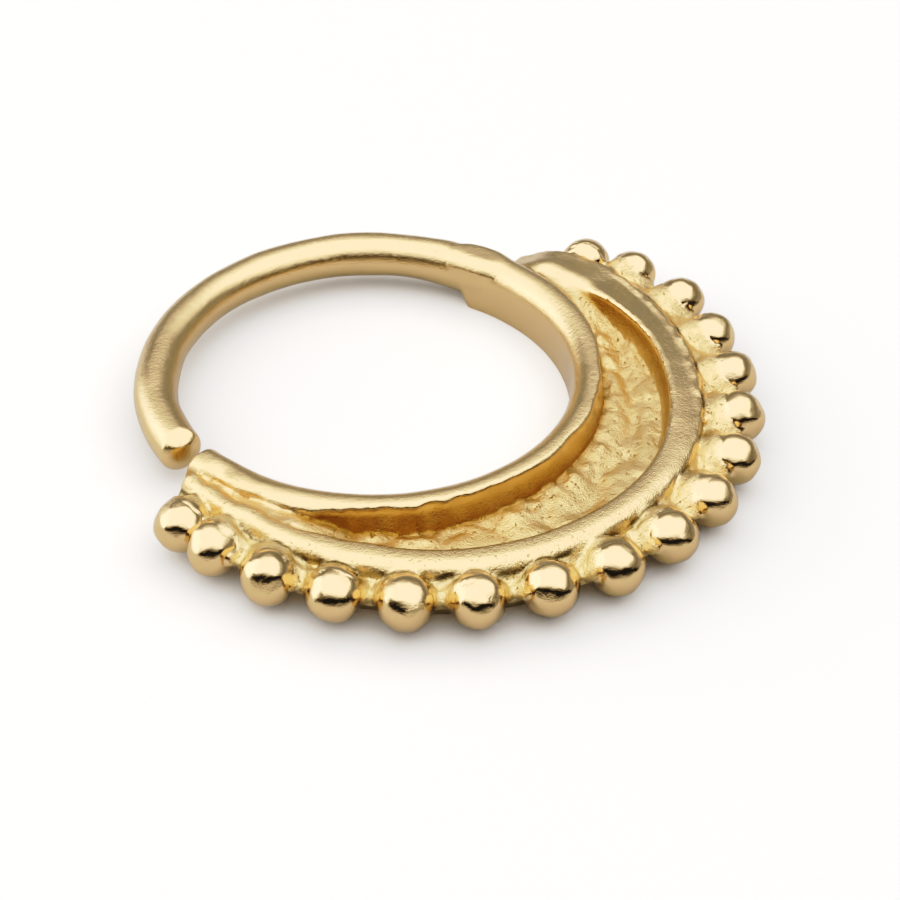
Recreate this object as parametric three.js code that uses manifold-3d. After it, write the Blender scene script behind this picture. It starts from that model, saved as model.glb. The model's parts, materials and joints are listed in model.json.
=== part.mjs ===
// Daith hoop: a small ear hoop cast in one piece. A round wire makes the back of the ring. It runs on
// as the inner rail of a crescent, with an outer rail, a sunk tray between the two rails and a row of
// round beads along the outside. Units are millimetres. The hoop lies flat with +Z up, the middle of
// the crescent points to -Y, and the origin is the middle of its footprint on the surface below it.
import * as THREE from 'three';
import * as BufferGeometryUtils from 'three/addons/utils/BufferGeometryUtils.js';
import Module from 'manifold-3d';

// Driving dimensions
const holeRadius = 4.5;          // clear inside of the ring
const wireRadius = 0.5;          // 18 gauge ear wire
const wireHeight = 0.84;         // middle of the wire above the surface
const wireSides = 14;
const tipBulge = 0.28;           // how far the wire's blunt round tip stands out
const ringRadius = holeRadius + wireRadius;

const railWall = 0.1;            // the inner rail's foot is this much wider than its top
const railBreak = 0.12;          // height of the broken edge between its top and the tray
const outerRailTop = 1.27;       // crest of the outer rail
const outerRailShoulder = 1.14;  // where its round top meets the tray's wall
const trayDraft = 0.12;          // slope of the tray's outer wall, measured at the floor

const beadRadius = 0.525;
const beadHeight = 0.75;         // middle of a bead above the surface
const neckRadius = 0.4;          // lump of metal that fixes a bead to the outer rail
const neckHeight = 0.71;
const webTop = 0.92;             // web between the beads, where it leaves the outer rail
const webEdge = 0.56;            // the same web at its outer edge
const webUnderside = 0.3;
const webSetback = 0.08;         // the web stops short of the middle of the beads

// Where each part of the ring starts and ends, in degrees from the middle of the crescent
const railStart = -102.5;        // cut end of the inner rail, across the gap from the wire's tip
const railEnd = 98;              // the crescent's full height steps up to the wire here
const stepLength = 4;            // the underside rounds up to that step over this many degrees
const stepRise = 0.3;
const trayStart = -99.5;
const trayEnd = 88;
const wireStart = 92;            // rooted inside the crescent
const wireEnd = 247.5;           // free end of the ear wire, before its round tip

// Sections through the crescent. Angles are in degrees from its middle, positive towards the wire's
// root. The other columns are distances from the centre of the hole, and the height of the tray.
const sections = [
  { angle: -105, innerRail: 5.30, trayOut: 5.42, outerRail: 5.70, beadRow: 6.30, floor: 1.16 },
  { angle: -95, innerRail: 5.28, trayOut: 5.46, outerRail: 5.84, beadRow: 6.45, floor: 1.12 },
  { angle: -84, innerRail: 5.30, trayOut: 5.60, outerRail: 5.98, beadRow: 6.68, floor: 1.04 },
  { angle: -72, innerRail: 5.34, trayOut: 5.88, outerRail: 6.34, beadRow: 7.05, floor: 0.84 },
  { angle: -60, innerRail: 5.24, trayOut: 6.18, outerRail: 6.78, beadRow: 7.29, floor: 0.64 },
  { angle: -45, innerRail: 5.20, trayOut: 6.55, outerRail: 7.13, beadRow: 7.62, floor: 0.60 },
  { angle: -30, innerRail: 5.18, trayOut: 6.84, outerRail: 7.42, beadRow: 7.92, floor: 0.60 },
  { angle: -15, innerRail: 5.17, trayOut: 6.99, outerRail: 7.62, beadRow: 8.19, floor: 0.60 },
  { angle: 0, innerRail: 5.16, trayOut: 7.05, outerRail: 7.72, beadRow: 8.37, floor: 0.60 },
  { angle: 15, innerRail: 5.15, trayOut: 6.96, outerRail: 7.66, beadRow: 8.38, floor: 0.60 },
  { angle: 30, innerRail: 5.15, trayOut: 6.78, outerRail: 7.46, beadRow: 8.23, floor: 0.60 },
  { angle: 45, innerRail: 5.18, trayOut: 6.58, outerRail: 7.30, beadRow: 8.09, floor: 0.60 },
  { angle: 60, innerRail: 5.24, trayOut: 6.20, outerRail: 7.06, beadRow: 7.92, floor: 0.66 },
  { angle: 72, innerRail: 5.34, trayOut: 5.88, outerRail: 6.76, beadRow: 7.46, floor: 0.90 },
  { angle: 82, innerRail: 5.44, trayOut: 5.72, outerRail: 6.36, beadRow: 6.80, floor: 1.06 },
  { angle: 100, innerRail: 5.48, trayOut: 5.62, outerRail: 5.85, beadRow: 6.20, floor: 1.12 },
];

// The beads stand in runs along their row, each run with its own pitch.
const firstBead = -93;
const beadRuns = [
  { beads: 1, pitch: 1.02 },
  { beads: 4, pitch: 1.45 },
  { beads: 7, pitch: 1.53 },
  { beads: 3, pitch: 1.58 },
  { beads: 1, pitch: 1.24 },
];

const wasm = await Module();
wasm.setup();

// Value of one column of the section table at any angle, on a smooth curve through the rows.
function sectionValue(column, angle) {
  const last = sections.length - 1;
  let row = 0;
  while (row < last - 1 && angle > sections[row + 1].angle) row += 1;
  const value = (index) => sections[THREE.MathUtils.clamp(index, 0, last)][column];
  const t = (angle - sections[row].angle) / (sections[row + 1].angle - sections[row].angle);
  const slopeIn = (value(row + 1) - value(row - 1)) / 2;
  const slopeOut = (value(row + 2) - value(row)) / 2;
  const rise = value(row + 1) - value(row);
  const bend = 3 * rise - 2 * slopeIn - slopeOut;
  const twist = slopeIn + slopeOut - 2 * rise;
  return value(row) + t * (slopeIn + t * (bend + t * twist));
}

// Direction in the plan, in radians, of an angle counted from the middle of the crescent.
function bearing(angle) {
  return THREE.MathUtils.degToRad(angle - 90);
}

// A place in the ring from its angle, distance from the centre of the hole and height.
function place(angle, distance, height) {
  const turn = bearing(angle);
  return new THREE.Vector3(distance * Math.cos(turn), distance * Math.sin(turn), height);
}

// A closed body from a BufferGeometry, ready to be joined.
function toSolid(geometry) {
  const shell = geometry.clone();
  shell.deleteAttribute('normal');
  shell.deleteAttribute('uv');
  const merged = BufferGeometryUtils.mergeVertices(shell, 1e-4);
  const vertProperties = new Float32Array(merged.attributes.position.array);
  const triVerts = new Uint32Array(merged.index.array);
  return new wasm.Manifold(new wasm.Mesh({ numProp: 3, vertProperties, triVerts }));
}

// A body swept round the ring. outline(angle) gives its section as [distance, height] pairs, counted
// anticlockwise, with as many pairs at every angle.
function sweep(outline, startAngle, endAngle, steps) {
  const corners = outline(startAngle).length;
  const positions = [];
  const index = [];
  for (let step = 0; step <= steps; step += 1) {
    const angle = startAngle + ((endAngle - startAngle) * step) / steps;
    outline(angle).forEach(([distance, height]) => positions.push(...place(angle, distance, height)));
  }
  for (let step = 0; step < steps; step += 1) {
    for (let corner = 0; corner < corners; corner += 1) {
      const here = step * corners + corner;
      const beside = step * corners + ((corner + 1) % corners);
      index.push(here, beside + corners, beside);
      index.push(here, here + corners, beside + corners);
    }
  }
  const flat = (angle) => outline(angle).map((pair) => new THREE.Vector2(...pair));
  for (const [a, b, c] of THREE.ShapeUtils.triangulateShape(flat(startAngle), [])) {
    index.push(a, b, c);
  }
  const lastRing = steps * corners;
  for (const [a, b, c] of THREE.ShapeUtils.triangulateShape(flat(endAngle), [])) {
    index.push(lastRing + a, lastRing + c, lastRing + b);
  }
  const geometry = new THREE.BufferGeometry();
  geometry.setAttribute('position', new THREE.Float32BufferAttribute(positions, 3));
  geometry.setIndex(index);
  return toSolid(geometry);
}

// The inner rail: a straight wall round the hole under the top half of the ear wire's round.
function innerRailOutline(angle) {
  const top = sectionValue('innerRail', angle);
  const intoStep = Math.max(0, (angle - railEnd) / stepLength + 1);
  const foot = stepRise * intoStep ** 2;
  const widest = 0.97;
  const shoulder = Math.asin(Math.min((top - ringRadius) / wireRadius, widest));
  const edge = wireHeight + wireRadius * Math.cos(shoulder) - railBreak;
  const outline = [[holeRadius, foot], [top + railWall, foot], [top + railWall, 0.5], [top, edge]];
  const steps = 8;
  const startTurn = shoulder - 0.08;
  const endTurn = -Math.PI / 2;
  for (let step = 0; step <= steps; step += 1) {
    const turn = startTurn + ((endTurn - startTurn) * step) / steps;
    outline.push([ringRadius + wireRadius * Math.sin(turn), wireHeight + wireRadius * Math.cos(turn)]);
  }
  return outline;
}

// The tray and what lies outside it: the floor, the round-topped outer rail and the web.
function trayOutline(angle) {
  const floor = sectionValue('floor', angle);
  const inside = sectionValue('trayOut', angle);
  const outside = sectionValue('outerRail', angle);
  const width = outside - inside;
  const webReach = sectionValue('beadRow', angle) - webSetback;
  const root = ringRadius - 0.2;
  return [
    [root, 0],
    [outside + 0.05, 0],
    [outside + 0.12, webUnderside],
    [webReach - 0.08, webUnderside],
    [webReach, webEdge - 0.1],
    [webReach - 0.06, webEdge],
    [outside + 0.18, webTop - 0.1],
    [outside + 0.03, webTop],
    [outside, outerRailShoulder - 0.04],
    [outside - 0.2 * width, outerRailTop - 0.03],
    [outside - 0.45 * width, outerRailTop],
    [inside + 0.25 * width, outerRailTop - 0.03],
    [inside, outerRailShoulder],
    [inside - 0.6 * trayDraft, Math.max(floor, 0.8) - 0.01],
    [inside - trayDraft, floor - 0.01],
    [root, floor - 0.02],
  ];
}

// The ear wire with its blunt round tip.
function earWire() {
  const ring = new THREE.Shape();
  for (let side = 0; side < wireSides; side += 1) {
    const turn = (2 * Math.PI * side) / wireSides;
    const corner = [wireRadius * Math.cos(turn), wireRadius * Math.sin(turn)];
    if (side === 0) ring.moveTo(...corner);
    else ring.lineTo(...corner);
  }
  const path = new THREE.Curve();
  path.getPoint = (t) => place(wireStart + t * (wireEnd - wireStart), ringRadius, wireHeight);
  const bar = new THREE.ExtrudeGeometry(ring, { steps: 30, bevelEnabled: false, extrudePath: path });
  const tip = new THREE.SphereGeometry(wireRadius, wireSides, 10);
  tip.scale(1, tipBulge / wireRadius, 1);
  tip.rotateZ(bearing(wireEnd));
  tip.translate(...place(wireEnd, ringRadius, wireHeight));
  return toSolid(bar).add(toSolid(tip));
}

// Angles of the beads, found by stepping each pitch along the bead row.
function beadAngles() {
  const stride = 0.05;
  const angles = [firstBead];
  let angle = firstBead;
  for (const run of beadRuns) {
    for (let bead = 0; bead < run.beads; bead += 1) {
      let travelled = 0;
      while (travelled < run.pitch) {
        const here = place(angle, sectionValue('beadRow', angle), 0);
        const next = place(angle + stride, sectionValue('beadRow', angle + stride), 0);
        travelled += here.distanceTo(next);
        angle += stride;
      }
      angles.push(angle);
    }
  }
  return angles;
}

// A ball with its poles up and down, turned to face away from the hole.
function ball(radius, sides, rings, angle, distance, height) {
  const geometry = new THREE.SphereGeometry(radius, sides, rings);
  geometry.rotateX(Math.PI / 2);
  geometry.rotateZ(bearing(angle));
  geometry.translate(...place(angle, distance, height));
  return toSolid(geometry);
}

// A bead and the neck of metal that fixes it to the outer rail.
function beadWithNeck(angle) {
  const row = sectionValue('beadRow', angle);
  const rail = sectionValue('outerRail', angle);
  const bead = ball(beadRadius, 14, 8, angle, row, beadHeight);
  const neck = ball(neckRadius, 8, 5, angle, (row + rail) / 2 - 0.05, neckHeight);
  return bead.add(neck);
}

// The whole casting as one body.
function casting() {
  let solid = sweep(innerRailOutline, railStart, railEnd, 44);
  solid = solid.add(sweep(trayOutline, trayStart, trayEnd, 42));
  solid = solid.add(earWire());
  for (const angle of beadAngles()) solid = solid.add(beadWithNeck(angle));
  return solid;
}

// The casting as a mesh, moved so that the middle of its footprint is the origin.
function hoop() {
  const mesh = casting().getMesh();
  const geometry = new THREE.BufferGeometry();
  geometry.setAttribute('position', new THREE.BufferAttribute(mesh.vertProperties, 3));
  geometry.setIndex(new THREE.BufferAttribute(mesh.triVerts, 1));
  geometry.computeBoundingBox();
  const { min, max } = geometry.boundingBox;
  geometry.translate(-(min.x + max.x) / 2, -(min.y + max.y) / 2, -min.z);
  geometry.computeVertexNormals();
  const castGold = new THREE.MeshStandardMaterial({ color: '#e3c27c', roughness: 0.24, metalness: 1 });
  const piece = new THREE.Mesh(geometry, castGold);
  piece.name = 'daith_hoop';
  return piece;
}

const object = new THREE.Group();
object.add(hoop());
export default object;
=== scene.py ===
"""Daith hoop: a small hoop cast in one piece in yellow gold, with a sunk crescent and a beaded edge.

The hoop lies flat, +Z up, the middle of the crescent towards -Y. Its lengths are in millimetres
until a mesh is made, in metres; the studio's are in metres. Angles round the ring are in degrees
from the middle of the crescent, positive towards the root of the ear wire, and distances are from
the centre of the hole.
"""

import itertools
import json
import math

import bpy
import numpy as np
from mathutils import Matrix, Vector


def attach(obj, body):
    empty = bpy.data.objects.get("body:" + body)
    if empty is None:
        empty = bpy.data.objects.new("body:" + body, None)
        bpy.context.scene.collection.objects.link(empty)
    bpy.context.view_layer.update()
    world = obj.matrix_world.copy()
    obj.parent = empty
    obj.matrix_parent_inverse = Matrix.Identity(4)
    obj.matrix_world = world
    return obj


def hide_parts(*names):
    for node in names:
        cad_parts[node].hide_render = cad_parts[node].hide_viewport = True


MM = 0.001

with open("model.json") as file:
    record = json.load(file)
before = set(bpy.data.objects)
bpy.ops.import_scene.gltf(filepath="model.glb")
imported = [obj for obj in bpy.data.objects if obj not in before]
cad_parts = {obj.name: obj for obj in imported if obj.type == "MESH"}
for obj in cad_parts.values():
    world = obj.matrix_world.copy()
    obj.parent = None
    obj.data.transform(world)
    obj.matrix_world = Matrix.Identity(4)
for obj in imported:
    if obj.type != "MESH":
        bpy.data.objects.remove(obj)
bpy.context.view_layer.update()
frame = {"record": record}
record = frame["record"]
mounts = {mount["name"]: mount for mount in record["mounts"]}

# --- Main sizes, the ear wire's taken from the record ---------------------------------------------
ear_wire_mount = mounts["ear_wire"]
WIRE_RADIUS = ear_wire_mount["dims"]["r_mm"]
WIRE_HEIGHT = ear_wire_mount["pos_m"][2] / MM
HOLE_RADIUS = 4.5
RING_RADIUS = HOLE_RADIUS + WIRE_RADIUS
CENTRE_X = ear_wire_mount["pos_m"][0] / MM
CENTRE_Y = ear_wire_mount["pos_m"][1] / MM - RING_RADIUS
TOP = WIRE_HEIGHT + WIRE_RADIUS

# --- Sizes of the casting -------------------------------------------------------------------------
OUTER_RAIL_TOP = 1.27
OUTER_RAIL_DROP = 0.18       # how far its top falls to its outer shoulder
BEAD_RADIUS = 0.58
BEAD_HEIGHT = 0.75
SEAT_ROOT_HEIGHT = 0.64      # middle of the metal drawn up behind a bead, where it meets the rail
WEB_TOP = 1.08               # web between the beads, where it leaves the outer rail
WEB_EDGE = 0.62              # the same web at its outer edge
WEB_UNDERSIDE = 0.46
WEB_SETBACK = 0.06           # the web stops short of the middle of the beads
RING_SEAM = -106.0           # where angles round the ring start, inside the opening
RAIL_START = -102.5          # cut end of the crescent's near tip
RAIL_END = 97.0              # the wall below the wire ends here
TRAY_START = -99.5           # near end of the tray, the outer rail and the web
TRAY_END = 85.0              # where the crescent's far end slopes down into the ear wire
WIRE_START = 92.0
WIRE_END = 247.5

# Sections through the crescent: inner rail's edge, outer rail's two edges, row of beads, tray floor.
SECTIONS = [
    # angle, inner_rail, tray_out, outer_rail, bead_row, floor
    (-105, 5.36, 5.46, 5.76, 6.30, 1.18),
    (-95, 5.34, 5.52, 5.88, 6.45, 1.12),
    (-84, 5.34, 5.64, 6.02, 6.68, 1.12),
    (-72, 5.36, 5.90, 6.36, 7.05, 1.09),
    (-66, 5.30, 6.04, 6.58, 7.18, 0.92),
    (-60, 5.24, 6.16, 6.78, 7.29, 0.70),
    (-45, 5.20, 6.53, 7.13, 7.62, 0.60),
    (-30, 5.18, 6.82, 7.42, 7.92, 0.60),
    (-15, 5.17, 6.97, 7.56, 8.19, 0.60),
    (0, 5.16, 7.02, 7.63, 8.37, 0.60),
    (15, 5.15, 6.90, 7.58, 8.38, 0.60),
    (30, 5.15, 6.69, 7.40, 8.23, 0.60),
    (45, 5.18, 6.46, 7.25, 8.09, 0.62),
    (58, 5.24, 6.14, 7.08, 7.95, 0.72),
    (66, 5.30, 5.90, 7.02, 7.71, 1.02),
    (72, 5.34, 5.80, 6.88, 7.44, 1.08),
    (82, 5.44, 5.72, 6.46, 6.78, 1.12),
    (100, 5.48, 5.62, 5.88, 6.20, 1.12),
]
COLUMNS = ("angle", "inner_rail", "tray_out", "outer_rail", "bead_row", "floor")
CURVE_STEP = 0.25            # degrees between the samples of a section curve

# The ear wire was bent and hammered by hand: how far it stands out of a true ring, and its radius.
WIRE_BENDS = [
    # angle, out, radius
    (90, 0.00, 0.530),
    (110, 0.02, 0.535),
    (123, 0.06, 0.530),
    (136, 0.10, 0.530),
    (150, 0.05, 0.520),
    (165, 0.03, 0.510),
    (183, -0.02, 0.500),
    (200, -0.04, 0.500),
    (213, -0.06, 0.500),
    (230, -0.01, 0.500),
    (256, 0.00, 0.490),
]

# After the first bead the others stand in runs along their row.
FIRST_BEAD = -93.0
BEAD_RUNS = [
    # beads, pitch
    (1, 1.02),
    (4, 1.45),
    (7, 1.53),
    (3, 1.58),
    (1, 1.24),
]
BEAD_STRIDE = 0.02           # degrees between the steps that find the beads' places

CELL = 0.068        # size of the surface's faces
WIRE_CELL = 0.10     # along the plain wire
CELL_DISTANCE = 6.9                     # where a face along the crescent is as wide as CELL
WIDE_CELLS = ((98.0, 112.0), (238.0, 244.0))    # where faces widen, and narrow again, along the wire
GRID_PARTS = 12                         # the distance is worked out in parts, to save memory
SETTLE_PASSES = 3                       # how often the mesh is evened out
SHARP_EDGE = 50                         # degrees


# --- Numbers along the ring -----------------------------------------------------------------------
def section_curves():
    """A smooth curve for each column of the section table, sampled at small steps."""
    rows = np.array(SECTIONS, float)
    angles = np.arange(rows[0, 0], rows[-1, 0] + CURVE_STEP, CURVE_STEP)
    at = np.clip(np.searchsorted(rows[:, 0], angles, side="right") - 1, 0, len(rows) - 2)
    t = (angles - rows[at, 0]) / (rows[at + 1, 0] - rows[at, 0])
    curves = {}
    for column, name in enumerate(COLUMNS):
        value = rows[:, column]
        before, here = value[np.maximum(at - 1, 0)], value[at]
        after, beyond = value[at + 1], value[np.minimum(at + 2, len(rows) - 1)]
        slope_in, slope_out, rise = (after - before) / 2, (beyond - here) / 2, after - here
        bend = 3 * rise - 2 * slope_in - slope_out
        curves[name] = here + t * (slope_in + t * (bend + t * (slope_in + slope_out - 2 * rise)))
    curves["angle"] = angles
    return curves


CURVES = section_curves()


def along(name, angle):
    """One column of the section table at any angle."""
    return np.interp(angle, CURVES["angle"], CURVES[name])


def bead_angles():
    """Angles of the beads, found by stepping each pitch along their row."""
    angles = [FIRST_BEAD]
    fine = np.arange(FIRST_BEAD, SECTIONS[-1][0], BEAD_STRIDE)
    turn = np.radians(fine - 90.0)
    row = along("bead_row", fine)
    path = np.stack([row * np.cos(turn), row * np.sin(turn)])
    walked = np.concatenate([[0.0], np.cumsum(np.hypot(*np.diff(path, axis=1)))])
    travelled = 0.0
    for beads, pitch in BEAD_RUNS:
        for _ in range(beads):
            travelled += pitch
            angles.append(float(np.interp(travelled, walked, fine)))
    return np.array(angles)


def place(angle, distance, height):
    """Points in the hoop's frame from angle, distance and height."""
    turn = np.radians(np.asarray(angle) - 90.0)
    x = CENTRE_X + distance * np.cos(turn)
    y = CENTRE_Y + distance * np.sin(turn)
    return np.stack([x, y, np.broadcast_to(height, x.shape)], axis=-1)


def round_ring(points):
    """Angle, distance and height of points, the angle counted once round from the seam."""
    x, y = points[..., 0] - CENTRE_X, points[..., 1] - CENTRE_Y
    angle = np.degrees(np.arctan2(y, x)) + 90.0
    angle = np.mod(angle - RING_SEAM, 360.0) + RING_SEAM
    return angle, np.hypot(x, y), points[..., 2]


def in_plan(points, rise=0.0):
    """Points with little or no height, so that grain read there runs straight down a wall."""
    return points * (1, 1, rise)


# --- Shaping tools --------------------------------------------------------------------------------
def blend_min(a, b, radius):
    """Union of two shapes with a fillet."""
    mix = np.maximum(radius - np.abs(a - b), 0.0) / radius
    return np.minimum(a, b) - mix * mix * radius / 4


def blend_max(a, b, radius):
    """What two shapes share, with a rounded edge."""
    return -blend_min(-a, -b, radius)


def ramp(value, low, high):
    """0 below low, 1 above high and smooth between."""
    t = np.clip((value - low) / (high - low), 0.0, 1.0)
    return t * t * (3 - 2 * t)


def fall(value, low, high):
    """1 below low, 0 above high and smooth between."""
    return ramp(-value, -high, -low)


def hump(offset, width):
    """1 on a line, and falling off to both sides of it."""
    return np.exp(-((offset / width) ** 2))


class Grain:
    """Smooth random relief from -1 to 1, with lumps of a given size."""

    def __init__(self, seed):
        self.table = np.random.default_rng(seed).uniform(-1, 1, (32, 32, 32))

    def __call__(self, points, size):
        scaled = points / size
        base = np.floor(scaled).astype(int)
        t = scaled - base
        t = t * t * (3 - 2 * t)
        total = 0.0
        for corner in itertools.product((0, 1), repeat=3):
            x, y, z = np.moveaxis((base + corner) & 31, -1, 0)
            weights = [t[..., n] if corner[n] else 1 - t[..., n] for n in range(3)]
            total = total + weights[0] * weights[1] * weights[2] * self.table[x, y, z]
        return total


waves, lumps, crumbs, notches = Grain(11), Grain(12), Grain(13), Grain(14)
BEADS = bead_angles()
BEAD_CENTRES = place(BEADS, along("bead_row", BEADS), BEAD_HEIGHT)


# --- The casting's parts, each as a distance from its surface (negative inside) --------------------
# Inner rail.
INNER_SWAY = 0.025           # how far its edge over the tray wanders
INNER_SWAY_LENGTH = 0.8
INNER_RAGGED = 0.02          # how ragged that edge is all along
INNER_RAGGED_NEAR = 0.04     # and how much more towards the near tip
INNER_RAGGED_LENGTH = 0.24
INNER_RAGGED_ANGLES = (-45.0, -20.0)
INNER_LEAN = 0.1             # how far its wall leans out at the tray's floor
INNER_LEAN_HEIGHTS = (0.6, 1.15)
INNER_EDGE_ROUND = 0.07


def inner_rail(angle, distance, height, points):
    """The straight wall round the hole under a half-round top, cut back along the tray."""
    crown = np.hypot(distance - RING_RADIUS, np.maximum(height - WIRE_HEIGHT, 0)) - WIRE_RADIUS
    plan = in_plan(points)
    edge = along("inner_rail", angle) + INNER_SWAY * waves(plan, INNER_SWAY_LENGTH)
    ragged = INNER_RAGGED + INNER_RAGGED_NEAR * fall(angle, *INNER_RAGGED_ANGLES)
    edge = edge + ragged * crumbs(plan, INNER_RAGGED_LENGTH)
    side = distance - edge - INNER_LEAN * fall(height, *INNER_LEAN_HEIGHTS)
    return blend_max(crown, side, INNER_EDGE_ROUND)


# Outer rail.
RAIL_SPREAD = (0.06, 0.03)   # its walls stand this far outside its two edges, inwards and outwards
RAIL_RAGGED = 0.03           # how ragged its edge over the tray is near the near tip
RAIL_RAGGED_LENGTH = 0.3
RAIL_RAGGED_ANGLES = (-60.0, -40.0)
RAIL_FLAT_ANGLES = (-5.0, 35.0)      # its round top turns flat and sloping between these
RAIL_ROUNDNESS = 1.9         # power of the curve of its round top
INNER_SHOULDER = 0.25        # the round top's inner shoulder falls this share of its drop
RAIL_LUMP, RAIL_LUMP_SIZE = 0.006, 0.5
RAIL_LEAN = 0.12             # how far its wall leans in at the tray's floor
RAIL_LEAN_HEIGHTS = (0.6, 1.1)
RAIL_EDGE = 0.09             # rounding of its edges
RAIL_SOFT = 0.25             # and how much softer the inner one is past the tray's far end
RAIL_SOFT_ANGLES = (58.0, 68.0)


def outer_rail(angle, distance, height, points):
    """The band outside the tray: round-topped at the front, a flat sloping outwards on the far side."""
    inside, outside = along("tray_out", angle) - RAIL_SPREAD[0], along("outer_rail", angle) + RAIL_SPREAD[1]
    ragged = RAIL_RAGGED * fall(angle, *RAIL_RAGGED_ANGLES)
    inside = inside + ragged * crumbs(in_plan(points), RAIL_RAGGED_LENGTH)
    middle, half = (inside + outside) / 2, (outside - inside) / 2
    across = (distance - middle) / half
    flat = ramp(angle, *RAIL_FLAT_ANGLES)
    round_drop = np.minimum(np.abs(across), 1.5) ** RAIL_ROUNDNESS
    round_drop = round_drop * np.where(across < 0, INNER_SHOULDER, 1.0)
    slope_drop = np.clip(across + 1.0, 0.0, 2.5) / 2
    top = height - OUTER_RAIL_TOP + OUTER_RAIL_DROP * ((1 - flat) * round_drop + flat * slope_drop)
    top = top - RAIL_LUMP * lumps(points, RAIL_LUMP_SIZE)
    wall_out = distance - outside
    wall_in = inside - RAIL_LEAN * fall(height, *RAIL_LEAN_HEIGHTS) - distance
    soft = RAIL_EDGE + RAIL_SOFT * ramp(angle, *RAIL_SOFT_ANGLES)
    return blend_max(blend_max(top, wall_out, RAIL_EDGE), wall_in, soft)


# Tray.
PILLOW_HEIGHT, PILLOW_SIZE = 0.06, 0.62
LUMP_HEIGHT, LUMP_SIZE = 0.016, 0.25
CRUMB_HEIGHT, CRUMB_SIZE = 0.008, 0.12
FOOT_OUT, FOOT_WIDTH = 0.34, 0.2     # rough metal at the inner rail's foot: how far out, how wide
FOOT_HEIGHT, FOOT_RAGGED, FOOT_SIZE = 0.03, 0.07, 0.24
FURROW_DEPTH = 0.11
FURROW_ACROSS, FURROW_WIDTH = 0.5, 0.13      # as shares of the tray's width
FURROW_SWAY, FURROW_SWAY_LENGTH = 0.12, 1.1
FURROW_MIDDLE, FURROW_REACH = 20.0, (20.0, 50.0)     # degrees
SUNK_FLOORS = (0.75, 1.0)    # floors between these heights lose their relief
SHALLOW_RELIEF = 0.35        # down to this share
FLOOR_TUCK = 0.1             # the floor ends this far inside the outer rail's outer edge


def tray(angle, distance, height, points):
    """The sunk floor between the rails, as rough as it came from the mould."""
    plan = in_plan(points)
    floor, inner, outer = along("floor", angle), along("inner_rail", angle), along("tray_out", angle)
    share = SHALLOW_RELIEF + (1 - SHALLOW_RELIEF) * fall(floor, *SUNK_FLOORS)
    pillows = np.abs(lumps(plan, PILLOW_SIZE)) * 1.6 - 0.5     # soft heights between sharp valleys
    relief = PILLOW_HEIGHT * pillows + LUMP_HEIGHT * lumps(plan + 7, LUMP_SIZE)
    relief = relief + CRUMB_HEIGHT * crumbs(plan, CRUMB_SIZE)
    foot = hump(distance - inner - FOOT_OUT, FOOT_WIDTH)
    relief = relief + foot * (FOOT_HEIGHT + FOOT_RAGGED * crumbs(plan, FOOT_SIZE))
    across = (distance - inner) / (outer - inner)
    furrow = hump(across - FURROW_ACROSS - FURROW_SWAY * waves(plan, FURROW_SWAY_LENGTH), FURROW_WIDTH)
    relief = relief - FURROW_DEPTH * furrow * fall(np.abs(angle - FURROW_MIDDLE), *FURROW_REACH)
    end = distance - along("outer_rail", angle) + FLOOR_TUCK
    return blend_max(height - floor - share * relief, end, 0.05)


# Web.
WEB_LUMP, WEB_LUMP_SIZE = 0.045, 0.26
WEB_CRUMB, WEB_CRUMB_SIZE = 0.025, 0.14
WEB_CURVE = 1.4              # it falls slowly at its edge and steeply at the rail
WEB_SLOPE = 0.85             # makes the height over the sloping web a distance from it
WEB_TUCK = 0.2               # it reaches this far in under the outer rail
WEB_ROUND = (0.16, 0.12)     # rounding of its outer edge, above and below


def web(angle, distance, height, points):
    """Sloping metal between the beads, thin at its outer edge and undercut below."""
    outside, row = along("outer_rail", angle), along("bead_row", angle)
    reach = row - WEB_SETBACK
    share = np.clip((reach - distance) / np.maximum(reach - outside, 0.2), -0.2, 1.1)
    top = height - WEB_EDGE - (WEB_TOP - WEB_EDGE) * np.sign(share) * np.abs(share) ** WEB_CURVE
    plan = in_plan(points, 0.3)
    top = top * WEB_SLOPE - WEB_LUMP * lumps(plan, WEB_LUMP_SIZE) - WEB_CRUMB * crumbs(plan, WEB_CRUMB_SIZE)
    skirt = WEB_UNDERSIDE * ramp(distance - outside, 0.0, 0.1)
    sheet = blend_max(blend_max(top, distance - reach, WEB_ROUND[0]), skirt - height, WEB_ROUND[1])
    return np.maximum(sheet, outside - WEB_TUCK - distance)


# Seats.
SEAT_TUCK = 0.2              # a seat's root lies this far inside the outer rail's edge
SEAT_SETBACK = 0.08          # it starts this far behind the bead's centre
SEAT_RISE = (0, 0, 0.02)     # and a little above it
SEAT_INSET = 0.03            # its radius is this much less than the bead's
SEAT_TAPER = 0.11            # and this much less again at its root
SEAT_LEAN_ANGLES = (-20.0, 20.0)     # seats get leaner towards the far side between these
LEAN_DROP, LEAN_INSET, LEAN_TAPER = 0.04, 0.01, 0.09
SEAT_ROUGH = 0.018
SEAT_LUMP_SIZE, SEAT_CRUMB_SIZE = 0.3, 0.15
SEAT_BLEND = 0.1             # fillet between two seats
FAR_OFF = 9.0                # a distance longer than any in the hoop


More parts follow.
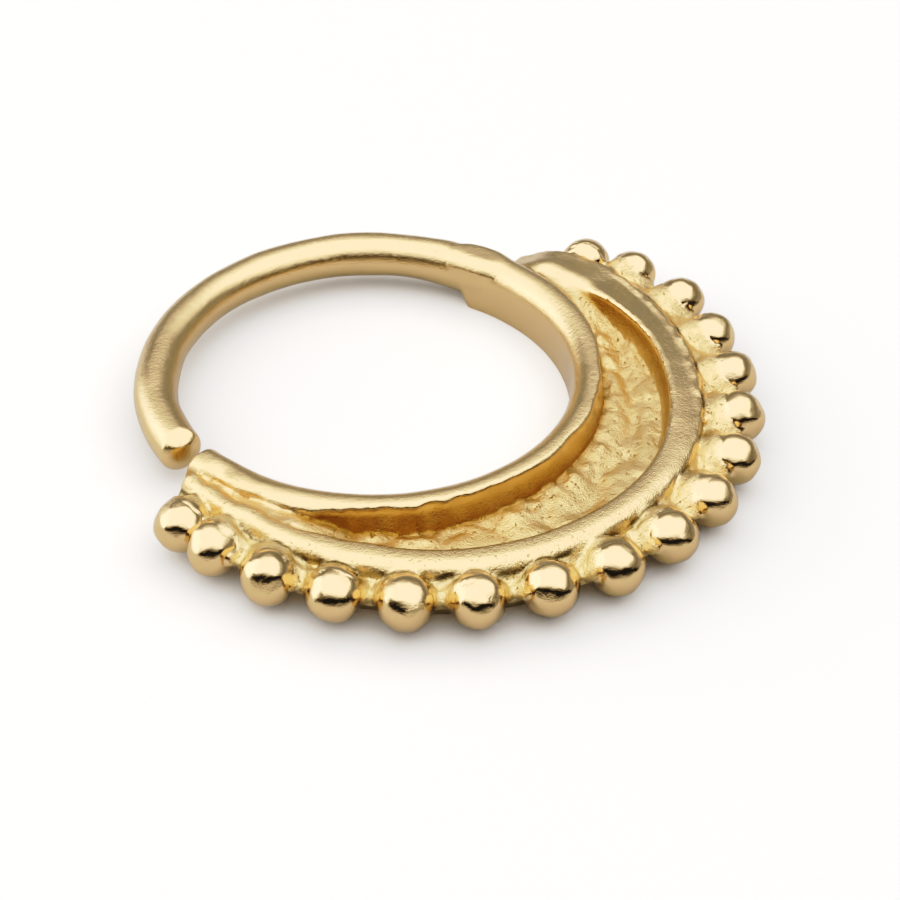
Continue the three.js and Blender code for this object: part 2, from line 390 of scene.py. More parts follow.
def seats(points):
    """Metal drawn up behind each bead, from the bead to the outer rail; leaner on the far side."""
    nearest = np.full(points.shape[:-1], FAR_OFF)
    for angle, centre in zip(BEADS, BEAD_CENTRES):
        lean = float(ramp(angle, *SEAT_LEAN_ANGLES))
        root_distance = along("outer_rail", angle) - SEAT_TUCK
        root = place(angle, root_distance, SEAT_ROOT_HEIGHT - LEAN_DROP * lean)
        start = centre + SEAT_SETBACK * (root - centre) / np.linalg.norm(root - centre) + SEAT_RISE
        line = root - start
        offset = points - start
        t = np.clip((offset @ line) / (line @ line), 0.0, 1.0)
        gap = np.linalg.norm(offset - t[..., None] * line, axis=-1)
        wide = BEAD_RADIUS - SEAT_INSET - LEAN_INSET * lean - (SEAT_TAPER + LEAN_TAPER * lean) * t
        nearest = blend_min(nearest, gap - wide, SEAT_BLEND)
    rough = nearest + SEAT_ROUGH * lumps(points, SEAT_LUMP_SIZE)
    return rough + SEAT_ROUGH * crumbs(points, SEAT_CRUMB_SIZE)


# Ear wire.
WIRE_WAVE, WIRE_WAVE_LENGTH = 0.016, 1.0
TIP_BULGE = 0.28             # how far the tip's round end stands out past the wire's end
TIP_CUT = (0.57, 0.82)       # direction of the flat on the tip, along the wire and up
TIP_CUT_HEIGHT = 0.43        # above the wire's middle
TIP_CUT_ROUND = 0.03
THROAT_RADIUS = 0.48         # metal left under the wire's root, its radius at the root
THROAT_TAPER = 0.1           # and how much it loses to its end
THROAT_DROP = 0.2            # how far it hangs below the wire's middle at the root
THROAT_ANGLES = (98.0, 124.0)
THROAT_END = 126.0
THROAT_ENDING = 0.09         # distance that its ends grow by in each degree
THROAT_FILLET = 0.08


def along_wire(degrees):
    """Length along the middle of the wire."""
    return degrees * math.pi / 180 * RING_RADIUS


def ear_wire(angle, distance, height, points):
    """Round wire, a little flattened where it was bent, with a blunt round tip."""
    bends = np.array(WIRE_BENDS)
    out = np.interp(angle, bends[:, 0], bends[:, 1])
    radius = np.interp(angle, bends[:, 0], bends[:, 2])
    past = along_wire(np.maximum(angle - WIRE_END, 0)) * WIRE_RADIUS / TIP_BULGE
    before = along_wire(np.maximum(WIRE_START - angle, 0))
    middle = WIRE_HEIGHT + WIRE_RADIUS - radius
    offset = np.stack([distance - RING_RADIUS - out, height - middle, past, before], axis=-1)
    wire = np.linalg.norm(offset, axis=-1) - radius + WIRE_WAVE * waves(points, WIRE_WAVE_LENGTH)
    above = height - WIRE_HEIGHT - TIP_CUT_HEIGHT
    facet = TIP_CUT[0] * along_wire(angle - WIRE_END) + TIP_CUT[1] * above
    wire = blend_max(wire, facet, TIP_CUT_ROUND)
    run = ramp(angle, *THROAT_ANGLES)
    throat = np.hypot(distance - RING_RADIUS, height - WIRE_HEIGHT + THROAT_DROP * (1 - run))
    throat = throat - THROAT_RADIUS + THROAT_TAPER * run
    ends = np.maximum(angle - THROAT_END, WIRE_START - angle) * THROAT_ENDING
    return blend_min(wire, np.maximum(throat, ends), THROAT_FILLET)


# Casting pits.
PIT_OUT, PIT_WIDTH = 0.05, 0.05      # their row: how far out of the rail's edge, how wide
PIT_HEIGHTS = (0.7, 0.9)     # pits fade out below
PIT_DEPTH, PIT_MORE = 0.03, 0.09     # depth all along, and how much deeper in places
PIT_SIZE, PIT_RUN = 0.35, 1.5        # size of a pit, and length of the deeper places
PIT_CUT, PIT_MORE_CUT = (-0.3, 0.3), (0.0, 0.4)      # where the relief counts as a pit, and as deeper


def pits(angle, distance, height, points):
    """Casting pits: depth of metal missing along the foot of the outer rail."""
    foot = hump(distance - along("outer_rail", angle) - PIT_OUT, PIT_WIDTH)
    low = ramp(height, *PIT_HEIGHTS)
    rough = ramp(notches(in_plan(points, 0.4), PIT_SIZE), *PIT_CUT)
    deep = PIT_DEPTH + PIT_MORE * ramp(notches(in_plan(points), PIT_RUN), *PIT_MORE_CUT)
    return deep * foot * low * rough


# --- The casting as a whole -----------------------------------------------------------------------
FLOOR_FILLET = 0.05          # where the tray's floor meets the outer rail
FLOOR_FILLET_FAR = 0.25      # and how much wider past the tray's far end
FLOOR_FILLET_ANGLES = (60.0, 72.0)
WEB_FILLET = 0.06            # where the web meets the outer rail
SEAT_FILLET = 0.08           # where a seat meets the web and the rail
SEAT_FILLET_OUT = 0.5        # and how much wider it gets outwards, above the underside
SEAT_FILLET_REACH = (0.05, 0.35)
SEAT_FILLET_HEIGHTS = (0.5, 0.75)
FAR_SLOPE = (0.5, 0.85)      # direction of the far end's slope, along the ring and up
FAR_SLOPE_HEIGHT = 1.0
FAR_SLOPE_ROUND = 0.15
FAR_CUT = 6.0                # the far end is cut off this many degrees past TRAY_END
TIP_ROUND = 0.2              # rounding of the tray's two cut ends
DISH_TUCK = 0.2              # the dish reaches this far in past the inner rail's middle
STEP_HEIGHT = 0.2            # the wall below the wire ends at RAIL_END at this height
STEP_LEAN, STEP_SWEEP = 0.5, 0.9     # how its end leans upwards, and draws back outwards
STEP_ROUND = 0.2
NEAR_CUT_ROUND = 0.05
WALL_FILLET = 0.05           # between the wall and the dish
JOIN = 0.05                  # fillet between the ear wire and the crescent
JOIN_FAR = 0.25              # and how much wider where the far end runs into the wire
JOIN_FAR_START, JOIN_FAR_END = (76.0, 84.0), (94.0, 106.0)   # degrees
JOIN_HEIGHTS, JOIN_DISTANCES = (0.9, 1.1), (5.2, 5.45)       # it is wider above or outside these
NEAR_TIP_ANGLES = (-92.0, -70.0)
NEAR_TIP_LUMP, NEAR_TIP_SIZE = 0.045, 0.42
BODY_WAVE, BODY_WAVE_LENGTH = 0.006, 0.45
TOP_TRIM = 0.01              # nothing stands higher than this above the wire
TOP_EDGE, BOTTOM_EDGE = 0.04, 0.05


def dish(angle, distance, height, points):
    """Tray, outer rail, web, pits and seats in one, cut off at the crescent's two tips."""
    from_rail = distance - along("outer_rail", angle)
    soft = FLOOR_FILLET + FLOOR_FILLET_FAR * ramp(angle, *FLOOR_FILLET_ANGLES)
    rail = outer_rail(angle, distance, height, points)
    shape = blend_min(tray(angle, distance, height, points), rail, soft)
    shape = blend_min(shape, web(angle, distance, height, points), WEB_FILLET)
    shape = shape + pits(angle, distance, height, points)
    fillet = SEAT_FILLET_OUT * ramp(from_rail, *SEAT_FILLET_REACH)
    fillet = SEAT_FILLET + fillet * ramp(height, *SEAT_FILLET_HEIGHTS)
    shape = blend_min(shape, seats(points), fillet)
    shape = blend_max(shape, RING_RADIUS - DISH_TUCK - distance, 0.02)
    degree = math.pi / 180 * distance
    far_slope = FAR_SLOPE[0] * (angle - TRAY_END) * degree + FAR_SLOPE[1] * (height - FAR_SLOPE_HEIGHT)
    shape = blend_max(shape, far_slope, FAR_SLOPE_ROUND)
    shape = blend_max(shape, (angle - TRAY_END - FAR_CUT) * degree, TIP_ROUND)
    return blend_max(shape, (TRAY_START - angle) * degree, TIP_ROUND)


def hole_wall(angle, distance, height, points):
    """The inner rail with its wall, from the cut near tip to the step under the ear wire."""
    degree = math.pi / 180 * distance
    step = (angle - RAIL_END) * degree - STEP_LEAN * (height - STEP_HEIGHT)
    step = step + STEP_SWEEP * np.maximum(distance - RING_RADIUS, 0)
    wall = blend_max(inner_rail(angle, distance, height, points), step, STEP_ROUND)
    return blend_max(wall, (RAIL_START - angle) * degree, NEAR_CUT_ROUND)


def casting(points):
    """Signed distance from the surface of the whole casting without its beads."""
    angle, distance, height = round_ring(points)
    wall, crescent = hole_wall(angle, distance, height, points), dish(angle, distance, height, points)
    body = blend_min(wall, crescent, WALL_FILLET)
    free = np.maximum(ramp(height, *JOIN_HEIGHTS), ramp(distance, *JOIN_DISTANCES))
    join = JOIN + JOIN_FAR * ramp(angle, *JOIN_FAR_START) * fall(angle, *JOIN_FAR_END) * free
    body = blend_min(body, ear_wire(angle, distance, height, points), join)
    near_tip = fall(angle, *NEAR_TIP_ANGLES)
    body = body + BODY_WAVE * waves(points, BODY_WAVE_LENGTH)
    body = body - near_tip * NEAR_TIP_LUMP * lumps(points, NEAR_TIP_SIZE)
    body = blend_max(body, height - TOP - TOP_TRIM, TOP_EDGE)
    return blend_max(body, -height, BOTTOM_EDGE)


# --- From the distance to a mesh ------------------------------------------------------------------
def ring_steps():
    """Angles of the mesh's cuts round the ring: close along the crescent, wider along the wire."""
    fine = math.degrees(CELL / CELL_DISTANCE)
    wide = math.degrees(WIRE_CELL / RING_RADIUS)
    steps, angle = [], RING_SEAM
    while angle < RING_SEAM + 360.0:
        steps.append(angle)
        share = float(ramp(angle, *WIDE_CELLS[0]) - ramp(angle, *WIDE_CELLS[1]))
        angle += fine + (wide - fine) * share
    return np.array(steps + [RING_SEAM + 360.0])


def neighbours(axis, keep):
    """Slices that pair each grid point with the next one along an axis."""
    low, high = [keep] * 3, [keep] * 3
    low[axis], high[axis] = slice(None, -1), slice(1, None)
    return tuple(low), tuple(high)


def crossed_cells(grid, value):
    """The grid cells that the surface passes through, and the middle of its crossings in each."""
    inside = value < 0
    cells = tuple(n - 1 for n in value.shape)
    summed, hits = np.zeros(cells + (3,)), np.zeros(cells)
    for axis in range(3):
        low, high = neighbours(axis, slice(None))
        crossed = inside[low] != inside[high]
        share = np.where(crossed, value[low] / np.where(crossed, value[low] - value[high], 1.0), 0.0)
        point = grid[low] + share[..., None] * (grid[high] - grid[low])
        others = [n for n in range(3) if n != axis]
        for shifts in itertools.product((0, 1), repeat=2):
            pick = [slice(None)] * 3
            for other, shift in zip(others, shifts):
                pick[other] = slice(shift, shift + cells[other])
            pick = tuple(pick)
            hits += crossed[pick]
            summed += np.where(crossed[pick][..., None], point[pick], 0.0)
    used = hits > 0
    return used, summed[used] / hits[used][:, None]


def crossed_edges(inside, number):
    """A quad round each grid edge that the surface crosses, turned to face outwards."""
    quads = []
    for axis in range(3):
        low, high = neighbours(axis, slice(1, -1))
        starts = np.argwhere(inside[low] != inside[high])
        others = [n for n in range(3) if n != axis]
        starts[:, others] += 1
        leaving = inside[tuple(starts.T)]
        corners = []
        for first, second in ((0, 0), (1, 0), (1, 1), (0, 1)):
            cell = starts.copy()
            cell[:, others[0]] -= first
            cell[:, others[1]] -= second
            corners.append(number[tuple(cell.T)])
        quad = np.stack(corners, axis=1)
        flip = ~leaving if axis == 1 else leaving
        quad[flip] = quad[flip][:, ::-1]
        quads.append(quad)
    return np.concatenate(quads)


def surface(field):
    """Vertices and quads of the zero surface of field, close to square on the ring's own grid."""
    margin = 2.5 * CELL
    reach = float(np.max(CURVES["bead_row"])) + BEAD_RADIUS + 0.1
    distances = np.arange(HOLE_RADIUS - margin, reach, CELL)
    heights = np.arange(-margin, TOP + margin, CELL)
    grid = place(*np.meshgrid(ring_steps(), distances, heights, indexing="ij"))
    value = np.concatenate([field(part) for part in np.array_split(grid, GRID_PARTS)])
    used, vertices = crossed_cells(grid, value)
    number = np.full(used.shape, -1)
    number[used] = np.arange(len(vertices))
    return vertices, crossed_edges(value < 0, number)


def slope(field, points, reach=0.004):
    """Direction in which the distance grows, at each point."""
    steps = np.eye(3) * reach
    parts = [field(points + step) - field(points - step) for step in steps]
    return np.stack(parts, axis=-1) / (2 * reach)


def settle(field, vertices, quads):
    """Evens the mesh out along the surface and brings every vertex back onto it."""
    for _ in range(SETTLE_PASSES):
        total, count = np.zeros_like(vertices), np.zeros(len(vertices))
        for side in range(4):
            for other in (quads[:, (side + 1) % 4], quads[:, side - 1]):
                np.add.at(total, quads[:, side], vertices[other])
                np.add.at(count, quads[:, side], 1)
        average = total / count[:, None]
        normal = slope(field, vertices)
        length = np.linalg.norm(normal, axis=1, keepdims=True) + 1e-9
        move = 0.5 * (average - vertices)
        move -= np.sum(move * normal, axis=1, keepdims=True) * normal / length**2
        vertices = vertices + move
        normal = slope(field, vertices)
        length = np.linalg.norm(normal, axis=1) + 1e-9
        shift = np.clip(field(vertices) / length, -0.5 * CELL, 0.5 * CELL)
        vertices = vertices - shift[:, None] * normal / length[:, None]
    return vertices


def mesh_object(name, vertices, faces):
    """An object from points in millimetres."""
    mesh = bpy.data.meshes.new(name)
    mesh.from_pydata((vertices * MM).tolist(), [], faces.tolist())
    mesh.validate()
    thing = bpy.data.objects.new(name, mesh)
    bpy.context.scene.collection.objects.link(thing)
    return thing


# --- Node helpers ---------------------------------------------------------------------------------
def linear(hex_colour):
    """sRGB hex to a linear colour with alpha."""
    parts = [int(hex_colour[i : i + 2], 16) / 255 for i in (1, 3, 5)]
    return [c / 12.92 if c <= 0.04045 else ((c + 0.055) / 1.055) ** 2.4 for c in parts] + [1.0]


def node(tree, kind, links=None, inputs=None, **settings):
    """Adds a node with its settings, input values and incoming links."""
    made = tree.nodes.new(kind)
    for name, value in settings.items():
        setattr(made, name, value)
    for name, value in (inputs or {}).items():
        made.inputs[name].default_value = value
    for name, socket in (links or {}).items():
        tree.links.new(socket, made.inputs[name])
    return made


def maths(tree, operation, *terms):
    """A sum of two terms, each a socket or a number."""
    links = {n: term for n, term in enumerate(terms) if isinstance(term, bpy.types.NodeSocket)}
    inputs = {n: term for n, term in enumerate(terms) if n not in links}
    return node(tree, "ShaderNodeMath", links, inputs, operation=operation).outputs[0]


def noise(tree, where, size, detail, roughness):
    """Smooth noise with lumps of a size in millimetres."""
    inputs = {"Scale": 1 / (size * MM), "Detail": detail, "Roughness": roughness}
    return node(tree, "ShaderNodeTexNoise", {"Vector": where}, inputs).outputs["Fac"]


def spread(tree, value, low, high):
    """0 to 1 spread over low to high."""
    return node(tree, "ShaderNodeMapRange", {"Value": value}, {"To Min": low, "To Max": high}).outputs[0]


def vertex_layer(tree, name):
    """What a vertex layer of the mesh holds."""
    return node(tree, "ShaderNodeAttribute", attribute_name=name).outputs["Fac"]


def bare_material(name):
    """A material with no nodes yet, and its node tree."""
    material = bpy.data.materials.new(name)
    material.use_nodes = True
    material.node_tree.nodes.clear()
    return material, material.node_tree


# --- Materials ------------------------------------------------------------------------------------
GOLD_GRAIN, GOLD_GRIT = 0.11, 0.035      # size of the cast grain and of the finer grit on it
GRAIN_RELIEF = 0.025
PORES = (0.37, 0.27)         # the grain's lowest places are pores: where one starts and where it is full
BUMPS = (0.12, 1.0)          # from tumbled metal to metal as cast
ROUGHNESS = (0.12, 0.30)
TUMBLED, AS_CAST = "#DFC293", "#E0C48E"

# Colours laid over the gold, one over the other, each by a vertex layer or by the pores: a painted sheen
# on the front of the web, painted shade in the tray's corners, the pores' own darker colour, and a
# painted shade line along the outer rail's foot.
COATS = [
    # place, colour
    # painted sheen: a paler colour on the front of the web, standing in for its bright reflection
    ("web_front_sheen", "#E2CB98"),
    # painted shade: a darker colour in the tray's corners, along its walls
    ("tray_wall_shade", "#AB823F"),
    ("pores", "#A5854B"),
    # painted shade: a dark line along the outer rail's foot between the beads
    ("rail_foot_shade", "#4A3B1C"),
]


def tumbled_gold():
    """Yellow gold, cast and tumbled: bright and soft on the high places, grainy where it stayed as cast,
    with a painted sheen and painted shade laid over it in places.
    """
    material, tree = bare_material("tumbled_cast_yellow_gold")
    where = node(tree, "ShaderNodeTexCoord").outputs["Object"]
    as_cast = vertex_layer(tree, "as_cast")
    grain = noise(tree, where, GOLD_GRAIN, 3.0, 0.6)
    grit = noise(tree, where, GOLD_GRIT, 2.0, 0.6)
    pores = node(
        tree, "ShaderNodeMapRange", {"Value": grain}, {"From Min": PORES[0], "From Max": PORES[1]}
    )
    pitted = maths(tree, "MULTIPLY", pores.outputs[0], as_cast)
    relief = maths(tree, "SUBTRACT", maths(tree, "ADD", grain, grit), pitted)
    bump = node(
        tree, "ShaderNodeBump", {"Height": relief, "Strength": spread(tree, as_cast, *BUMPS)},
        {"Distance": GRAIN_RELIEF * MM},
    )
    gold = node(
        tree, "ShaderNodeMix", {"Factor": as_cast},
        {"A": linear(TUMBLED), "B": linear(AS_CAST)}, data_type="RGBA",
    )
    for place_name, hex_colour in COATS:
        amount = pitted if place_name == "pores" else vertex_layer(tree, place_name)
        gold = node(
            tree, "ShaderNodeMix", {"Factor": amount, "A": gold.outputs["Result"]},
            {"B": linear(hex_colour)}, data_type="RGBA",
        )
    shader = node(
        tree, "ShaderNodeBsdfPrincipled",
        {
            "Base Color": gold.outputs["Result"],
            "Roughness": spread(tree, as_cast, *ROUGHNESS),
            "Normal": bump.outputs["Normal"],
        },
        {"Metallic": 1.0},
    )
    node(tree, "ShaderNodeOutputMaterial", {"Surface": shader.outputs["BSDF"]})
    return material


def matt_sheet(name, hex_colour):
    """Plain matt card or board."""
    material, tree = bare_material(name)
    shader = node(
        tree, "ShaderNodeBsdfPrincipled", None,
        {"Base Color": linear(hex_colour), "Roughness": 0.8},
    )
    node(tree, "ShaderNodeOutputMaterial", {"Surface": shader.outputs["BSDF"]})
    return material


def glow(name, brightness):
    """Plain white light of a given brightness."""
    material, tree = bare_material(name)
    light = node(tree, "ShaderNodeEmission", None, {"Color": (1, 1, 1, 1), "Strength": brightness})
    node(tree, "ShaderNodeOutputMaterial", {"Surface": light.outputs["Emission"]})
    return material


# --- The row of beads -----------------------------------------------------------------------------
# What the row is made from, with its lengths in metres.
BEAD_INPUTS = [
    # input, socket, value
    ("Bead Radius", "NodeSocketFloat", BEAD_RADIUS * MM),
    ("Size Spread", "NodeSocketFloat", 0.02),
    ("Unevenness", "NodeSocketFloat", 0.11 * MM),
    ("Seed", "NodeSocketInt", 5),
]
BEAD_SWELL = 0.6             # size of the uneven places on a bead


def bead_tree(gold):
    """Balls on points, each sized at random within limits and a little uneven."""
    tree = bpy.data.node_groups.new("bead_row", "GeometryNodeTree")
    tree.interface.new_socket("Geometry", in_out="INPUT", socket_type="NodeSocketGeometry")
    for name, kind, value in BEAD_INPUTS:
        socket = tree.interface.new_socket(name, in_out="INPUT", socket_type=kind)
        socket.default_value = value
    tree.interface.new_socket("Geometry", in_out="OUTPUT", socket_type="NodeSocketGeometry")
    given = node(tree, "NodeGroupInput").outputs
    ball = node(
        tree, "GeometryNodeMeshIcoSphere", {"Radius": given["Bead Radius"]}, {"Subdivisions": 5}
    )
    size = node(
        tree, "FunctionNodeRandomValue",
        {
            "Min": maths(tree, "SUBTRACT", 1.0, given["Size Spread"]),
            "Max": maths(tree, "ADD", 1.0, given["Size Spread"]),
            "Seed": given["Seed"],
        },
        data_type="FLOAT_VECTOR",
    )
    placed = node(
        tree, "GeometryNodeInstanceOnPoints",
        {
            "Points": given["Geometry"],
            "Instance": ball.outputs["Mesh"],
            "Scale": size.outputs["Value"],
        },
    )
    real = node(tree, "GeometryNodeRealizeInstances", {"Geometry": placed.outputs["Instances"]})
    position = node(tree, "GeometryNodeInputPosition").outputs["Position"]
    normal = node(tree, "GeometryNodeInputNormal").outputs["Normal"]
    swell = maths(tree, "SUBTRACT", noise(tree, position, BEAD_SWELL, 2.0, 0.35), 0.5)
    offset = node(
        tree, "ShaderNodeVectorMath",
        {0: normal, "Scale": maths(tree, "MULTIPLY", swell, given["Unevenness"])}, operation="SCALE",
    )
    moved = node(
        tree, "GeometryNodeSetPosition",
        {"Geometry": real.outputs["Geometry"], "Offset": offset.outputs["Vector"]},
    )
    gilded = node(
        tree, "GeometryNodeSetMaterial", {"Geometry": moved.outputs["Geometry"]}, {"Material": gold}
    )
    node(tree, "NodeGroupOutput", {"Geometry": gilded.outputs["Geometry"]})
    return tree


def bead_row(gold):
    """The beads as one plain mesh."""
    points = mesh_object("bead_points", BEAD_CENTRES, np.zeros((0, 3), int))
    modifier = points.modifiers.new("bead_row", "NODES")
    modifier.node_group = bead_tree(gold)
    values = {name: value for name, kind, value in BEAD_INPUTS}
    for item in modifier.node_group.interface.items_tree:
        if item.in_out == "INPUT" and item.name in values:
            modifier[item.identifier] = values[item.name]
    depsgraph = bpy.context.evaluated_depsgraph_get()
    mesh = bpy.data.meshes.new_from_object(points.evaluated_get(depsgraph))
    bpy.data.objects.remove(points)
    row = bpy.data.objects.new("bead_row", mesh)
    bpy.context.scene.collection.objects.link(row)
    return row


# --- The hoop -------------------------------------------------------------------------------------
def joined(body, other):
    """body with other fused into it, as one plain mesh."""
    modifier = body.modifiers.new("fuse", "BOOLEAN")
    modifier.operation = "UNION"
    modifier.solver = "MANIFOLD"
    modifier.object = other
    depsgraph = bpy.context.evaluated_depsgraph_get()
    mesh = bpy.data.meshes.new_from_object(body.evaluated_get(depsgraph))
    while len(mesh.materials) > 1:      # the fusing leaves an empty slot behind the body's own
        mesh.materials.pop()
    body.modifiers.remove(modifier)
    body.data = mesh
    bpy.data.objects.remove(other)
    return body


def points_of(mesh):
    """The vertices of a mesh in millimetres."""
    flat = np.empty(len(mesh.vertices) * 3, np.float32)
    mesh.vertices.foreach_get("co", flat)
    return flat.reshape(-1, 3).astype(float) / MM


def write_layer(thing, name, amount):
    """Keeps a number for each vertex, for the material to read."""
    layer = thing.data.attributes.new(name, "FLOAT", "POINT")
    layer.data.foreach_set("value", amount.astype(np.float32))


# Painted shade: a dark line along the crease at the outer rail's foot between the beads, where shade falls.
SHADE_LINE_OUT = 0.05             # the painted shade line runs this far out of the rail's edge at the front
SHADE_LINE_SWAY, SHADE_LINE_SWAY_LENGTH = 0.04, 0.3
SHADE_LINE_WIDTHS = (0.02, 0.055)
SHADE_LINE_RUN = 0.5              # length of the stretches of painted shade and of the unshaded stretches between them
SHADE_LINE_DARKNESS = 0.9


def rail_foot_shade_at(points, from_bead):
    """How much painted shade each point gets: a broken dark line along the foot of the outer rail between
    the beads, where shade falls.
    """
    angle, distance, height = round_ring(points)
    plan = in_plan(points)
    foot = along("outer_rail", angle) + SHADE_LINE_OUT - SHADE_LINE_OUT * ramp(angle, -10.0, 20.0)
    line = distance - foot - SHADE_LINE_SWAY * crumbs(plan, SHADE_LINE_SWAY_LENGTH) * fall(angle, -10.0, 10.0)
    rail_foot_shade = fall(np.abs(line), *SHADE_LINE_WIDTHS) * ramp(height, 0.9, 1.0) * ramp(from_bead, 0.02, 0.06)
    broken = ramp(notches(plan + 3, SHADE_LINE_RUN), -0.45, -0.1)
    return SHADE_LINE_DARKNESS * rail_foot_shade * broken * fall(angle, 60.0, 66.0)


# How much of the cast grain is left.
GRAIN_KEPT = 0.22            # on rails and wire
GRAIN_KEPT_NEAR = 0.3        # and how much more on the outer rail's front and the near tip
GRAIN_KEPT_WEB = 0.9


def mark_wear_and_painted_light(thing):
    """Writes four layers for each vertex that the gold's material reads: what it kept of the casting, and
    painted light.

    as_cast is the grain left by the mould: full in the tray, nearly full on the web, little on the
    rails and the wire, and none on the beads. The front of the web gets a painted sheen, a paler colour
    for its bright reflection; the corners of the tray get painted shade, a darker colour along its
    walls; and a painted shade line runs along the outer rail's foot between the beads.
    """
    points = points_of(thing.data)
    angle, distance, height = round_ring(points)
    inner, tray_edge, rail_edge = (along(name, angle) for name in COLUMNS[1:4])
    spans = [np.linalg.norm(points - centre, axis=1) - BEAD_RADIUS for centre in BEAD_CENTRES]
    from_bead = np.min(np.abs(spans), axis=0)
    off_wire = fall(angle, 90.0, 100.0)
    in_tray = ramp(distance, 5.1, 5.3) * ramp(tray_edge - distance, -0.05, 0.1) * fall(height, 1.05, 1.15)
    on_web = ramp(distance - rail_edge, -0.02, 0.08) * ramp(from_bead, 0.02, 0.05)
    front_rail = fall(angle, -30.0, 5.0) * ramp(distance - tray_edge, -0.2, -0.1)
    near_tip = fall(angle, -88.0, -72.0) * ramp(distance, 5.0, 5.2)
    tumbled = GRAIN_KEPT + GRAIN_KEPT_NEAR * np.maximum(front_rail, near_tip)
    tumbled = tumbled * ramp(from_bead, 0.015, 0.03)
    as_cast = np.maximum(tumbled, np.maximum(in_tray, GRAIN_KEPT_WEB * on_web) * off_wire)
    from_wall = np.minimum(np.abs(distance - inner - 0.02), np.abs(tray_edge - distance))
    write_layer(thing, "as_cast", as_cast)
    # painted sheen: a paler colour on the front of the web, standing in for its bright reflection
    write_layer(thing, "web_front_sheen", on_web * fall(angle, -30.0, 10.0))
    # painted shade: a darker colour in the tray's corners, along its walls
    write_layer(thing, "tray_wall_shade", in_tray * off_wire * fall(from_wall, 0.08, 0.22))
    # painted shade: a dark line along the outer rail's foot between the beads
    write_layer(thing, "rail_foot_shade", rail_foot_shade_at(points, from_bead) * off_wire)


def hoop():
    """The whole casting as one fused mesh."""
    gold = tumbled_gold()
    vertices, quads = surface(casting)
    vertices = settle(casting, vertices, quads)
    body = mesh_object("cast_hoop", vertices, quads)
    body.data.materials.append(gold)
    body = joined(body, bead_row(gold))
    mark_wear_and_painted_light(body)
    body.data.shade_smooth()
    body.data.set_sharp_from_angle(angle=math.radians(SHARP_EDGE))
    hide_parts("daith_hoop")
    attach(body, "root")


# --- Floor and light, with lengths in metres -------------------------------------------------------
VIEW_AZIMUTH = 303.0         # degrees
VIEW_ELEVATION = 38.94
TABLE_SIDE = 1.0
CARD_SINK = 0.01 * MM        # the grey card lies this far below the table
OVERHEAD = 0.3               # height of the soft light above the table
OVERHEAD_BRIGHTNESS = 1.66
# How high above the horizon the soft light's edges are, in degrees.
OVERHEAD_EDGES = {"near": 42, "far": 46, "left": 30, "right": 38}

# Flat panels that face a point over the hoop: where they stand, what they face, their size and light.
PANELS = [
    # name, azimuth, elevation, distance, facing_height, width, height, brightness
    ("left_side", -100, 22, 0.3, 0.02, 0.36, 0.22, 1.9),
    ("dark_card", 6, 22, 0.2, 0.0, 2.4, 0.085, 0.02),
]

# The room round the table: how bright it is at each rise (sine of the elevation), with a darker
# band a little above the table.
ROOM_LIGHT = [
    # rise, light
    (0.24, 0.34),
    (0.30, 0.20),
    (0.40, 0.20),
    (0.47, 0.38),
    (0.76, 0.80),
]


def around(azimuth, elevation, distance):
    """A point seen from the hoop at an azimuth right of the camera's side and an elevation."""
    turn, lift = math.radians(VIEW_AZIMUTH + azimuth), math.radians(elevation)
    return Vector(
        (
            distance * math.sin(turn) * math.cos(lift),
            -distance * math.cos(turn) * math.cos(lift),
            distance * math.sin(lift),
        )
    )


def flat_sheet(name, width, depth, material):
    """A flat rectangle of the surroundings, lying at the origin."""
    corners = np.array([(-1, -1, 0), (1, -1, 0), (1, 1, 0), (-1, 1, 0)]) * (width / 2, depth / 2, 0)
    mesh = bpy.data.meshes.new(name)
    mesh.from_pydata(corners.tolist(), [], [(0, 1, 2, 3)])
    mesh.materials.append(material)
    sheet = bpy.data.objects.new(name, mesh)
    bpy.context.scene.collection.objects.link(sheet)
    return sheet


def panel(name, width, depth, brightness):
    """A light panel that the camera doesn't see, or a dark card where it barely glows."""
    sheet = flat_sheet(name, width, depth, glow(name, brightness))
    sheet.visible_camera = False
    return sheet


def overhead_light():
    """The big soft light, level above the table and turned to the camera's side."""
    near, far, left, right = (OVERHEAD / math.tan(math.radians(edge)) for edge in OVERHEAD_EDGES.values())
    light = panel("overhead", left + right, near + far, OVERHEAD_BRIGHTNESS)
    light.rotation_euler = (math.pi, 0, math.radians(VIEW_AZIMUTH))
    middle = around(0, 0, (near - far) / 2) + around(-90, 0, (left - right) / 2)
    light.location = middle + Vector((0, 0, OVERHEAD))


def room():
    """The pale room round the table, dim low down and bright above."""
    world = bpy.data.worlds.new("room")
    bpy.context.scene.world = world
    world.use_nodes = True
    tree = world.node_tree
    where = node(tree, "ShaderNodeTexCoord").outputs["Generated"]
    height = node(tree, "ShaderNodeSeparateXYZ", {"Vector": where}).outputs["Z"]
    walls = node(tree, "ShaderNodeValToRGB", {"Fac": height})
    walls.color_ramp.interpolation = "EASE"
    stops = walls.color_ramp.elements
    stops.remove(stops[1])
    for number, (rise, light) in enumerate(ROOM_LIGHT):
        stop = stops[0] if number == 0 else stops.new(rise)
        stop.position = rise
        stop.color = (light, light, light, 1)
    back = tree.nodes["Background"]
    back.inputs["Color"].default_value = (1, 1, 1, 1)
    tree.links.new(walls.outputs[0], back.inputs["Strength"])


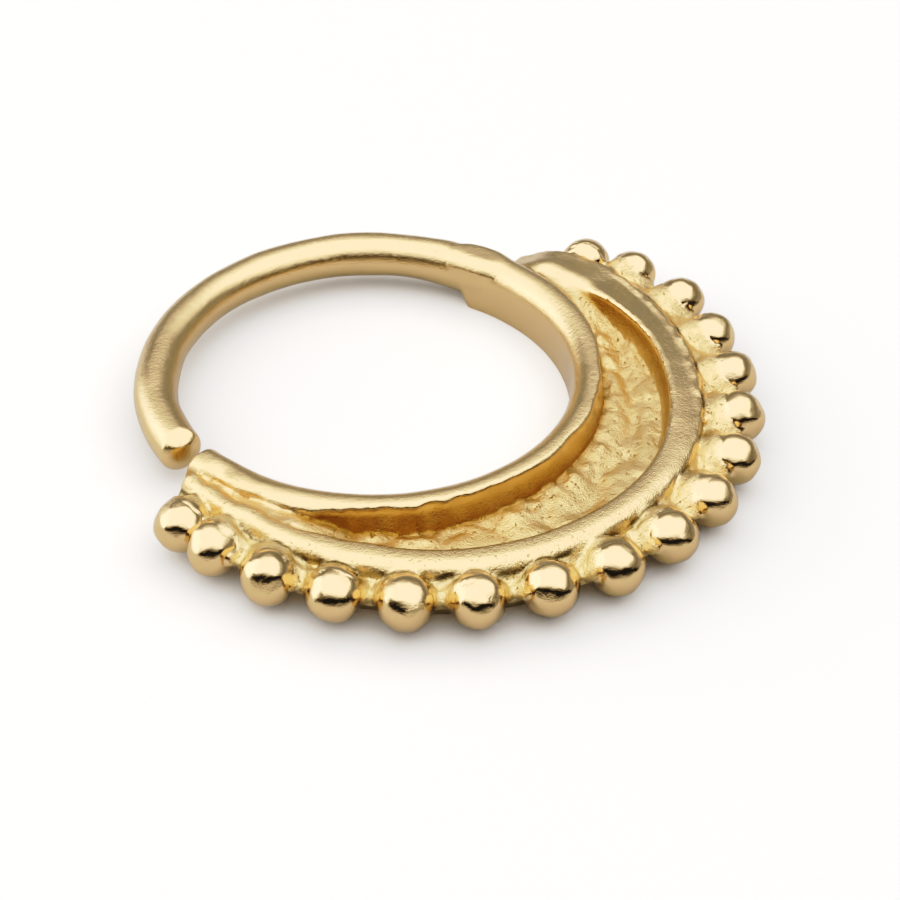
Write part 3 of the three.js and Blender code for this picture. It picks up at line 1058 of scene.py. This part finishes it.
def studio():
    """A white table, the grey card that the gold sees in its place, the room, the lights and a dark card."""
    table = flat_sheet("white_table", TABLE_SIDE, TABLE_SIDE, matt_sheet("white_table", "#F6F4F2"))
    table.visible_glossy = False
    table.visible_shadow = False
    card_name = "grey_card_under_the_gold"
    card = flat_sheet(card_name, TABLE_SIDE, TABLE_SIDE, matt_sheet(card_name, "#DCD9D5"))
    card.visible_camera = False
    card.visible_shadow = False
    card.location.z = -CARD_SINK
    room()
    overhead_light()
    for name, azimuth, elevation, distance, facing_height, width, height, brightness in PANELS:
        sheet = panel(name, width, height, brightness)
        sheet.location = around(azimuth, elevation, distance)
        away = Vector((0, 0, facing_height)) - sheet.location
        sheet.rotation_euler = away.to_track_quat("Z", "Y").to_euler()


# --- Camera ---------------------------------------------------------------------------------------
VIEW_TARGET = Vector((-0.62, -0.66, 0.0)) * MM
VIEW_DISTANCE = 43.95 * MM
VIEW_ROLL = 1.01
LENS = 78.17


def camera():
    """The camera, from the left of the crescent and above, with the hoop filling the frame."""
    lens = bpy.data.cameras.new("camera")
    lens.lens = LENS
    lens.sensor_width = 36.0
    lens.clip_start = 0.001
    lens.clip_end = 10.0
    eye = bpy.data.objects.new("camera", lens)
    bpy.context.scene.collection.objects.link(eye)
    back = around(0, VIEW_ELEVATION, 1)
    eye.location = VIEW_TARGET + back * VIEW_DISTANCE
    facing = (-back).to_track_quat("-Z", "Y").to_matrix().to_4x4()
    eye.rotation_euler = (facing @ Matrix.Rotation(math.radians(VIEW_ROLL), 4, "Z")).to_euler()
    bpy.context.scene.camera = eye


# The camera's response: light in the scene, and how bright it comes out.
TONE = [
    # light, shown
    (0.03, 0.014),
    (0.08, 0.062),
    (0.16, 0.170),
    (0.30, 0.345),
    (0.50, 0.585),
    (0.75, 0.775),
    (0.97, 0.890),
    (1.07, 0.955),
    (1.16, 1.000),
]
BRIGHTEST = 2.0


def studio_tone():
    """A soft shoulder on the highlights and a firm toe in the darks."""
    view = bpy.context.scene.view_settings
    view.view_transform = "Standard"
    view.use_curve_mapping = True
    mapping = view.curve_mapping
    mapping.white_level = (BRIGHTEST, BRIGHTEST, BRIGHTEST)
    curve = mapping.curves[3]
    for light, shown in TONE:
        curve.points.new(light / BRIGHTEST, shown)
    for point in curve.points:
        point.handle_type = "AUTO_CLAMPED"
    mapping.update()


hoop()
studio()
camera()
studio_tone()
